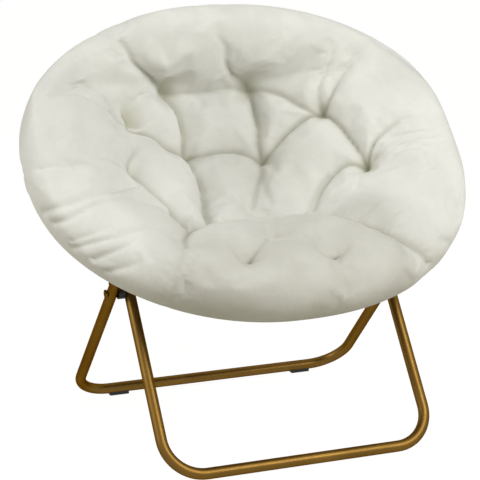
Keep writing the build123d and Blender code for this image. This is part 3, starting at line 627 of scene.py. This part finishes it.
def line_pull(points, line, start_depth, end_depth, reach, held_depth):
    """Depth that a crease gives to each point, where two rounded pads meet in a sharp line,
    and each point's distance from that line."""
    line = laid_on(points, line)
    pull = np.zeros(len(points))
    far = np.full(len(points), FAR)
    close = np.flatnonzero(((points > line.min(0) - reach) & (points < line.max(0) + reach)).all(1))
    near_points = points[close]
    lengths = np.linalg.norm(np.diff(line, axis=0), axis=1)
    marks = np.concatenate([[0], np.cumsum(lengths)]) / max(lengths.sum(), 1e-6)
    near = np.full(len(close), FAR)
    share = np.zeros(len(close))
    for p, q, low, high in zip(line[:-1], line[1:], marks[:-1], marks[1:]):
        way = q - p
        t = np.clip((near_points - p) @ way / max(way @ way, 1e-9), 0, 1)
        distance = np.linalg.norm(near_points - (p + t[:, None] * way), axis=1)
        better = distance < near
        near = np.where(better, distance, near)
        share = np.where(better, low + t * (high - low), share)
    depth = start_depth + (end_depth - start_depth) * share
    x = np.clip(near / reach, 0, 1)
    pull[close] = depth * (1 - np.sqrt(1 - (1 - x) ** 2))
    far[close] = np.where(depth > held_depth, near, FAR)
    return pull, far


def spread_out(coarse, shape):
    """Carries values from every second point of the grid to the whole grid."""
    for axis, wraps in ((0, False), (1, True)):
        place = np.arange(shape[axis]) / 2
        low = np.minimum(place.astype(int), coarse.shape[axis] - 1)
        high = low + 1
        high = high % coarse.shape[axis] if wraps else np.minimum(high, coarse.shape[axis] - 1)
        part = (place - low)[:, None] if axis else (place - low)[:, None, None]
        coarse = np.take(coarse, low, axis) * (1 - part) + np.take(coarse, high, axis) * part
    return coarse


def drawn_in(points, settings):
    """How deep the creases and tufts draw the padding in at each point, and how far each point
    is from the nearest crease that is held fast."""
    pulls = np.zeros(len(points))
    nearest = np.full(len(points), FAR)
    scale = settings.crease_reach / DRAWN_CREASE_REACH
    for lines, held_depth in ((CREASES, HELD_DEPTH), (SEAMS, 0.0)):
        for start_depth, end_depth, reach, line in lines:
            pull, far = line_pull(points, line, start_depth, end_depth, reach * scale, held_depth)
            pulls += pull ** JOINING_POWER
            nearest = np.minimum(nearest, far)
    for name, (*place, strength) in TUFTS.items():
        reach = settings.tuft_reach * 1000 * (SEAT_TUFT_REACH if name.startswith("s") else 1)
        distance = np.linalg.norm(points - nearest_point(points, place), axis=1)
        t = np.clip(distance / reach, 0, 1)
        pulls += (strength * TUFT_DEPTH * (1 - t) ** TUFT_SHARPNESS) ** JOINING_POWER
    return pulls ** (1 / JOINING_POWER), nearest


def inflate(grid, held):
    """Lets the cloth between the held points swell and gather, on every second point of the
    grid, and gives how far each point of the whole grid moves, in millimetres."""
    scene = bpy.context.scene
    coarse = grid[::2, ::2]
    body = bpy.data.objects.new("padding", grid_mesh("padding", coarse))
    scene.collection.objects.link(body)
    start = get_points(body.data)
    pins = body.vertex_groups.new(name="held")
    pinned = np.append(held[::2, ::2].ravel(), [True, True])
    pins.add([int(i) for i in np.flatnonzero(pinned)], 1.0, "REPLACE")
    cloth = body.modifiers.new("cloth", "CLOTH")
    cloth.settings.vertex_group_mass = "held"
    for key, value in SWELL_CLOTH.items():
        setattr(cloth.settings, key, value)
    cloth.settings.effector_weights.gravity = 0
    cloth.point_cache.frame_start = 1
    cloth.point_cache.frame_end = SWELL_FRAMES
    for frame_number in range(1, SWELL_FRAMES + 1):
        scene.frame_set(frame_number)
    result = body.evaluated_get(bpy.context.evaluated_depsgraph_get()).data
    moved = (get_points(result) - start)[:-2].reshape(coarse.shape) * 1000
    scene.frame_set(1)
    bpy.data.objects.remove(body)
    size = np.linalg.norm(moved, axis=2, keepdims=True)
    moved *= np.minimum(1, SWELL_CAP / np.maximum(size, 1e-6))
    return spread_out(turned_to_ring(moved), grid.shape)


def inside_bowl():
    """One inside the bowl, fading to nothing where the rim rolls over to the outer side."""
    rows, columns = np.arange(ROWS), np.arange(COLUMNS)
    over_rows = np.clip((rows - SWELL_START) / SWELL_FADE, 0, 1)
    over_rows *= np.clip((INNER_ROWS - rows) / SWELL_FADE, 0, 1)
    over_columns = np.clip(np.minimum(columns, COLUMNS - 1 - columns) / SWELL_FADE - 1, 0, 1)
    fade = over_columns[:, None] * over_rows[None, :]
    return (fade * fade * (3 - 2 * fade))[..., None]


def swelled(points, nearest):
    """The points once the padding has swelled between the creases that hold it."""
    held = (nearest < HELD_REACH)[:-2].reshape(COLUMNS, ROWS)
    held[:, INNER_ROWS:] = True
    held[:HELD_COLUMNS] = True
    held[-HELD_COLUMNS:] = True
    grid = points[:-2].reshape(COLUMNS, ROWS, 3)
    grid = grid + inflate(grid, held) * inside_bowl()
    return np.vstack([grid.reshape(-1, 3), points[-2:]])


def outer_side():
    """True for the points of the cushion's outer side."""
    outer = np.zeros((COLUMNS, ROWS), bool)
    outer[:, INNER_ROWS:] = True
    return np.append(outer.ravel(), [False, False])


def seam_path(points):
    """The line round the cushion's outer side on which its backing is sewn."""
    columns = points[:-2].reshape(COLUMNS, ROWS, 3)
    behind = columns[:, INNER_ROWS + SEAM_ROWS]
    ahead = columns[::-1, ROWS - SEAM_ROWS]
    path = np.vstack([behind, ahead, behind[:1]])
    for _ in range(SEAM_EVENING):
        path[1:-1] = (path[:-2] + 2 * path[1:-1] + path[2:]) / 4
    return path


def sewn_backing(points):
    """How far the backing's seam, its gathers and the tufts' twine draw the outer side in,
    and how far each point is from the seam."""
    path, outer = seam_path(points), outer_side()
    lengths = np.linalg.norm(np.diff(path, axis=0), axis=1)
    marks = np.concatenate([[0], np.cumsum(lengths)])
    far = np.full(len(points), FAR)
    places = np.zeros(len(points))
    for section_points in np.array_split(np.flatnonzero(outer), 40):  # in 40 parts, to need less memory
        apart = np.linalg.norm(points[section_points, None] - path[None, :-1], axis=2)
        best = apart.argmin(1)
        far[section_points] = apart[np.arange(len(section_points)), best]
        places[section_points] = marks[best]
    wave = 2 * math.pi * places / GATHER_LENGTH
    swayed = wave
    for size, rate, start in GATHER_SWAY:
        swayed = swayed + size * np.sin(wave * rate + start)
    gather = 0.5 + 0.5 * np.sin(swayed)
    near = np.clip(1 - far / GATHER_REACH, 0, 1) ** 2
    depth = SEAM_GROOVE * np.exp(-(far / SEAM_GROOVE_REACH) ** 2) + GATHER_DEPTH * near * gather ** 2
    backing = np.flatnonzero(outer)
    for x, along, height, strength in TUFTS.values():
        sideways = (points[backing, 0] - x) ** 2 + (points[backing, 1] - along) ** 2
        twine_end = points[backing[np.argmin(sideways)]]
        t = np.clip(np.linalg.norm(points - twine_end, axis=1) / BACK_TUFT_REACH, 0, 1)
        depth += np.where(outer, strength * BACK_TUFT_DEPTH * (1 - t) ** BACK_TUFT_SHARPNESS, 0)
    return depth, far


def pressed_by_tubes(points):
    """Pushes the padding off the leg tubes that it rests on."""
    for half_width, degrees, length, room in PRESSING_TUBES:
        angle = math.radians(degrees)
        way = np.array([0, math.cos(angle), math.sin(angle)])
        for side in (-1, 1):
            origin = np.array([side * half_width, LEG_PIVOT.y, LEG_PIVOT.z])
            along = np.clip((points - origin) @ way, 0, length)
            offset = points - origin - along[:, None] * way
            distance = np.linalg.norm(offset, axis=1)
            inside = distance < room * PRESS_REACH
            share = distance[inside] / (room * PRESS_REACH)
            target = room * (1 + share * (PRESS_REACH - 1))
            push = (target - distance[inside]) / np.maximum(distance[inside], 1e-6)
            points[inside] += offset[inside] * push[:, None]
    return points


def lying_nap(points):
    """Where shade is painted on the plush: on the seat, and more faintly low on the back."""
    on_seat = np.clip((SEAT_SHADE_START - points[:, 1]) / SEAT_SHADE_FADE, 0, 1)
    on_seat *= np.clip((SEAT_SHADE_HALF_WIDTH - np.abs(points[:, 0])) / SEAT_SHADE_FADE + 1, 0, 1)
    from_middle = np.hypot(points[:, 0] - BACK_SHADE_MIDDLE[0], points[:, 1] - BACK_SHADE_MIDDLE[1])
    return np.maximum(on_seat, BACK_SHADE * np.clip(1 - from_middle / BACK_SHADE_REACH, 0, 1))


def keep_mark(mesh, name, values):
    """Keeps one number for each point of the mesh, for the plush to read."""
    mesh.attributes.new(name, "FLOAT", "POINT").data.foreach_set("value", values)


def blend_over_fold(piece):
    """Bakes the piece's placement into its mesh."""
    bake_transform(piece)


class SAUCER_OT_cushion(bpy.types.Operator):
    """Build the tufted plush cushion"""
    bl_idname = "saucer.cushion"
    bl_label = "Cushion"

    def execute(self, context):
        settings = context.scene.saucer_cushion
        mesh = grid_mesh("cushion", bowl_grid())
        cushion = bpy.data.objects.new("cushion", mesh)
        context.scene.collection.objects.link(cushion)
        points = world_to_ring(get_points(mesh))
        normals = turned_to_ring(get_normals(mesh))
        pulls, nearest = drawn_in(points, settings)
        backing, from_seam = sewn_backing(points)
        nearest = np.minimum(nearest, from_seam)
        points = points - normals * (pulls + backing)[:, None]
        # Painted shade only: the seam's line is darkened in the colour, not in the shape.
        pulls += np.where(from_seam < LINE_SHADE_REACH, SEAM_SHADE_PULL, 0)
        points = swelled(points, nearest)
        set_points(mesh, ring_to_world(points))
        set_points(mesh, smooth(mesh, get_points(mesh), 2))
        set_points(mesh, pressed_by_tubes(get_points(mesh)))
        # Painted shade in the creases, as deep as they draw the padding in.
        keep_mark(mesh, "fold", np.clip(smooth(mesh, pulls, 4) / CREASE_SHADE_FULL_PULL, 0, 1))
        # Painted shade on the seat and low on the back.
        keep_mark(mesh, "nap", lying_nap(points))
        # Painted shade: a dark line along each deep crease and the seam.
        line = np.clip(1 - nearest / LINE_SHADE_REACH, 0, 1) * np.clip(pulls / CREASE_LINE_SHADE_FULL_PULL, 0, 1)
        keep_mark(mesh, "line", smooth(mesh, line, 1))
        mesh.polygons.foreach_set("use_smooth", [True] * len(mesh.polygons))
        mesh.materials.append(plush_material(settings))
        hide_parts("back_cushion", "seat_cushion")
        blend_over_fold(cushion)
        return {"FINISHED"}


# ---------------------------------------------------------------- stitches
def stitch_tree():
    """Thread stitches laid along a curve: small beads, drawn out along the seam."""
    tree = bpy.data.node_groups.new("Stitches along a seam", "GeometryNodeTree")
    face = tree.interface
    face.new_socket("Geometry", in_out="INPUT", socket_type="NodeSocketGeometry")
    for name, value in STITCH_SIZES.items():
        socket = face.new_socket(name, in_out="INPUT", socket_type="NodeSocketFloat")
        socket.default_value = value
    face.new_socket("Thread", in_out="INPUT", socket_type="NodeSocketMaterial")
    face.new_socket("Geometry", in_out="OUTPUT", socket_type="NodeSocketGeometry")
    given = add_node(tree, "NodeGroupInput").outputs
    spaced = add_node(tree, "GeometryNodeResampleCurve",
                      [("Curve", given["Geometry"]), ("Length", given["Pitch"])], mode="LENGTH")
    tangent = add_node(tree, "GeometryNodeInputTangent")
    turn = add_node(tree, "FunctionNodeAlignEulerToVector", [("Vector", tangent.outputs[0])], axis="Z")
    bead = add_node(tree, "GeometryNodeMeshUVSphere", [("Radius", given["Thread radius"])],
                    Segments=8, Rings=5)
    thickness = add_maths(tree, "MULTIPLY", given["Thread radius"], 2)
    drawn_out = add_maths(tree, "DIVIDE", given["Stitch length"], thickness)
    size = add_node(tree, "ShaderNodeCombineXYZ", [("Z", drawn_out)], X=1, Y=1)
    placed = add_node(tree, "GeometryNodeInstanceOnPoints",
                      [("Points", spaced.outputs[0]), ("Instance", bead.outputs["Mesh"]),
                       ("Rotation", turn.outputs[0]), ("Scale", size.outputs[0])])
    real = add_node(tree, "GeometryNodeRealizeInstances", [(0, placed.outputs[0])])
    dressed = add_node(tree, "GeometryNodeSetMaterial",
                       [("Geometry", real.outputs[0]), ("Material", given["Thread"])])
    add_node(tree, "NodeGroupOutput", [("Geometry", dressed.outputs[0])])
    return tree


def seam_curve(path):
    """A curve object that runs along the path."""
    curve = bpy.data.curves.new("seam", "CURVE")
    curve.dimensions = "3D"
    spline = curve.splines.new("POLY")
    spline.points.add(len(path) - 1)
    spline.points.foreach_set("co", np.column_stack([path, np.ones(len(path))]).ravel())
    return bpy.data.objects.new("seam", curve)


class SAUCER_OT_stitches(bpy.types.Operator):
    """Sew the cushion's backing on with a row of stitches"""
    bl_idname = "saucer.stitches"
    bl_label = "Backing stitches"

    def execute(self, context):
        settings = context.scene.saucer_cushion
        padding = world_to_ring(get_points(context.scene.objects["cushion"].data))
        seam = seam_curve(ring_to_world(seam_path(padding)))
        context.scene.collection.objects.link(seam)
        modifier = seam.modifiers.new("stitches", "NODES")
        modifier.node_group = stitch_tree()
        chosen = {"Thread": thread_material(settings), "Pitch": settings.stitch_pitch}
        for item in modifier.node_group.interface.items_tree:
            if item.in_out == "INPUT" and item.name in chosen:
                modifier[item.identifier] = chosen[item.name]
        context.view_layer.update()
        sewn = seam.evaluated_get(context.evaluated_depsgraph_get())
        stitches = bpy.data.objects.new("backing_stitches", bpy.data.meshes.new_from_object(sewn))
        bpy.data.objects.remove(seam)
        context.scene.collection.objects.link(stitches)
        stitches.data.polygons.foreach_set("use_smooth", [True] * len(stitches.data.polygons))
        blend_over_fold(stitches)
        return {"FINISHED"}


# ---------------------------------------------------------------- frame and fittings
def dress(nodes, material):
    """Gives the solids of these nodes one material."""
    for name in nodes:
        node = frame["nodes"][name]
        for piece in [node, *node.children_recursive]:
            if piece.type != "MESH":
                continue
            piece.data.materials.clear()
            piece.data.materials.append(material)


class SAUCER_OT_frame(bpy.types.Operator):
    """Finish the two leg frames, their rivets and the brackets in satin gold"""
    bl_idname = "saucer.frame"
    bl_label = "Leg frames and brackets"

    def execute(self, context):
        dress(("front_leg_tube", "rear_leg_tube", "leg_pivot_rivets", "back_bracket_left",
               "back_bracket_right", "rest_bracket_left", "rest_bracket_right"),
              gold_material(context.scene.saucer_frame))
        return {"FINISHED"}


class SAUCER_OT_plastics(bpy.types.Operator):
    """Finish the spacers, the pads under the rear frame and the plugs in black plastic"""
    bl_idname = "saucer.plastics"
    bl_label = "Spacers, pads and plugs"

    def execute(self, context):
        dress(("leg_spacer_left", "leg_spacer_right", "rear_foot_pad_left", "rear_foot_pad_right",
               "front_leg_plugs", "rear_leg_plugs"), plastic_material(context.scene.saucer_frame))
        return {"FINISHED"}


class SAUCER_OT_fasteners(bpy.types.Operator):
    """Finish the pins, bolts and nuts in plated steel"""
    bl_idname = "saucer.fasteners"
    bl_label = "Pins, bolts and nuts"

    def execute(self, context):
        dress(("rest_pins", "bracket_bolts", "bracket_nuts", "ring_hinge_pins"), steel_material())
        return {"FINISHED"}


class SAUCER_OT_ring(bpy.types.Operator):
    """Finish the ring hidden in the rim, its hinges and its sleeves"""
    bl_idname = "saucer.ring"
    bl_label = "Ring, hinges and sleeves"

    def execute(self, context):
        dress(("back_ring_tube", "seat_ring_tube", "back_hinge_leaf_left", "back_hinge_leaf_right",
               "seat_hinge_leaf_left", "seat_hinge_leaf_right"), ring_steel_material())
        dress(("back_ring_sleeve", "seat_ring_sleeve"), sleeve_material())
        return {"FINISHED"}


# ---------------------------------------------------------------- stage
FLOOR_HALF_SIZE = 16.0
FLOOR_GLOW = 1.15          # strength of the white that the camera sees on the floor
FLOOR_GLOW_SHARE = 0.84    # the rest is the lit floor, with the chair's shadow on it
FILL_COLOR = (1.0, 0.965, 0.85)
KEY_LAMP = {"place": (0.86, -1.90, 1.90), "size": 1.4}
RIM_LAMP = {"place": (-2.24, 0.15, 1.75), "size": 1.3}
RIM_LAMP_SHARE = 0.60      # its power against the key lamp's
LAMPS_AIM = (0, 0, 0.4)
CAMERA_PLACE = (-1.0217, LEG_PIVOT.y - 2.5518, 1.0169)
CAMERA_AZIMUTH = math.radians(-21.10)
CAMERA_ELEVATION = math.radians(13.92)
CAMERA_LENS = 124.1
CAMERA_FILM_WIDTH = 36


class SAUCER_OT_stage(bpy.types.Operator):
    """Set up the floor, the soft lights and the camera"""
    bl_idname = "saucer.stage"
    bl_label = "Stage"

    def execute(self, context):
        settings = context.scene.saucer_stage
        scene = context.scene
        scene.view_settings.view_transform = "Standard"
        self.make_floor(scene, settings)
        self.make_world(scene, settings)
        self.make_lamp(scene, "key light", settings.key_power, **KEY_LAMP)
        self.make_lamp(scene, "rim light", settings.key_power * RIM_LAMP_SHARE, **RIM_LAMP)
        self.make_camera(scene)
        return {"FINISHED"}

    def seen_white(self, tree):
        """One where plain white is shown: to the camera, to mirrors and through glass."""
        rays = add_node(tree, "ShaderNodeLightPath").outputs
        seen = add_maths(tree, "MAXIMUM", rays["Is Camera Ray"], rays["Is Glossy Ray"])
        return add_maths(tree, "MAXIMUM", seen, rays["Is Transmission Ray"])

    def make_floor(self, scene, settings):
        mesh = bpy.data.meshes.new("floor")
        size = FLOOR_HALF_SIZE
        mesh.from_pydata([(-size, -size, 0), (size, -size, 0), (size, size, 0), (-size, size, 0)],
                         [], [(0, 1, 2, 3)])
        floor = bpy.data.objects.new("floor", mesh)
        scene.collection.objects.link(floor)
        material = bpy.data.materials.new("Plain floor")
        material.use_nodes = True
        tree = material.node_tree
        surface = tree.nodes["Principled BSDF"]
        surface.inputs["Base Color"].default_value = (*settings.floor_color, 1)
        surface.inputs["Roughness"].default_value = 0.9
        share = add_maths(tree, "MULTIPLY", self.seen_white(tree), FLOOR_GLOW_SHARE)
        glow = add_node(tree, "ShaderNodeEmission", Strength=FLOOR_GLOW)
        both = add_node(tree, "ShaderNodeMixShader",
                        [(0, share), (1, surface.outputs[0]), (2, glow.outputs[0])])
        tree.links.new(both.outputs[0], tree.nodes["Material Output"].inputs["Surface"])
        mesh.materials.append(material)

    def make_world(self, scene, settings):
        scene.world = bpy.data.worlds.new("studio")
        scene.world.use_nodes = True
        tree = scene.world.node_tree
        fill = tree.nodes["Background"]
        fill.inputs["Color"].default_value = (*FILL_COLOR, 1)
        fill.inputs["Strength"].default_value = settings.fill_level
        white = add_node(tree, "ShaderNodeBackground", Color=(1, 1, 1, 1))
        both = add_node(tree, "ShaderNodeMixShader",
                        [(0, self.seen_white(tree)), (1, fill.outputs[0]), (2, white.outputs[0])])
        tree.links.new(both.outputs[0], tree.nodes["World Output"].inputs["Surface"])

    def make_lamp(self, scene, name, power, place, size):
        data = bpy.data.lights.new(name, "AREA")
        data.energy = power
        data.size = size
        lamp = bpy.data.objects.new(name, data)
        lamp.location = place
        lamp.rotation_euler = (Vector(LAMPS_AIM) - Vector(place)).to_track_quat("-Z", "Y").to_euler()
        scene.collection.objects.link(lamp)

    def make_camera(self, scene):
        data = bpy.data.cameras.new("camera")
        data.sensor_width = CAMERA_FILM_WIDTH
        data.lens = CAMERA_LENS
        camera = bpy.data.objects.new("camera", data)
        level = math.cos(CAMERA_ELEVATION)
        back = Vector((math.sin(CAMERA_AZIMUTH) * level, -math.cos(CAMERA_AZIMUTH) * level,
                       math.sin(CAMERA_ELEVATION)))
        right = Vector((math.cos(CAMERA_AZIMUTH), math.sin(CAMERA_AZIMUTH), 0))
        turn = Matrix((right, back.cross(right), back)).transposed().to_4x4()
        camera.matrix_world = Matrix.Translation(CAMERA_PLACE) @ turn
        scene.collection.objects.link(camera)
        scene.camera = camera


class SAUCER_PT_panel(bpy.types.Panel):
    """The chair's pieces and their settings"""
    bl_idname = "SAUCER_PT_panel"
    bl_label = "Saucer chair"
    bl_space_type = "VIEW_3D"
    bl_region_type = "UI"
    bl_category = "Saucer chair"

    def draw(self, context):
        layout = self.layout
        for cls in CLASSES:
            if issubclass(cls, bpy.types.Operator):
                layout.operator(cls.bl_idname)
        for name, group in GROUPS.items():
            for key in group.__annotations__:
                layout.prop(getattr(context.scene, name), key)


GROUPS = {"saucer_cushion": CushionSettings, "saucer_frame": FrameSettings, "saucer_stage": StageSettings}
CLASSES = (CushionSettings, FrameSettings, StageSettings, SAUCER_OT_cushion, SAUCER_OT_stitches,
           SAUCER_OT_frame, SAUCER_OT_plastics, SAUCER_OT_fasteners, SAUCER_OT_ring, SAUCER_OT_stage,
           SAUCER_PT_panel)


def register():
    for cls in CLASSES:
        bpy.utils.register_class(cls)
    for name, group in GROUPS.items():
        setattr(bpy.types.Scene, name, bpy.props.PointerProperty(type=group))


def unregister():
    for name in GROUPS:
        delattr(bpy.types.Scene, name)
    for cls in reversed(CLASSES):
        bpy.utils.unregister_class(cls)


def main():
    register()
    bpy.ops.saucer.stage()
    bpy.ops.saucer.cushion()
    bpy.ops.saucer.stitches()
    bpy.ops.saucer.frame()
    bpy.ops.saucer.plastics()
    bpy.ops.saucer.fasteners()
    bpy.ops.saucer.ring()


if __name__ == "__main__":
    main()
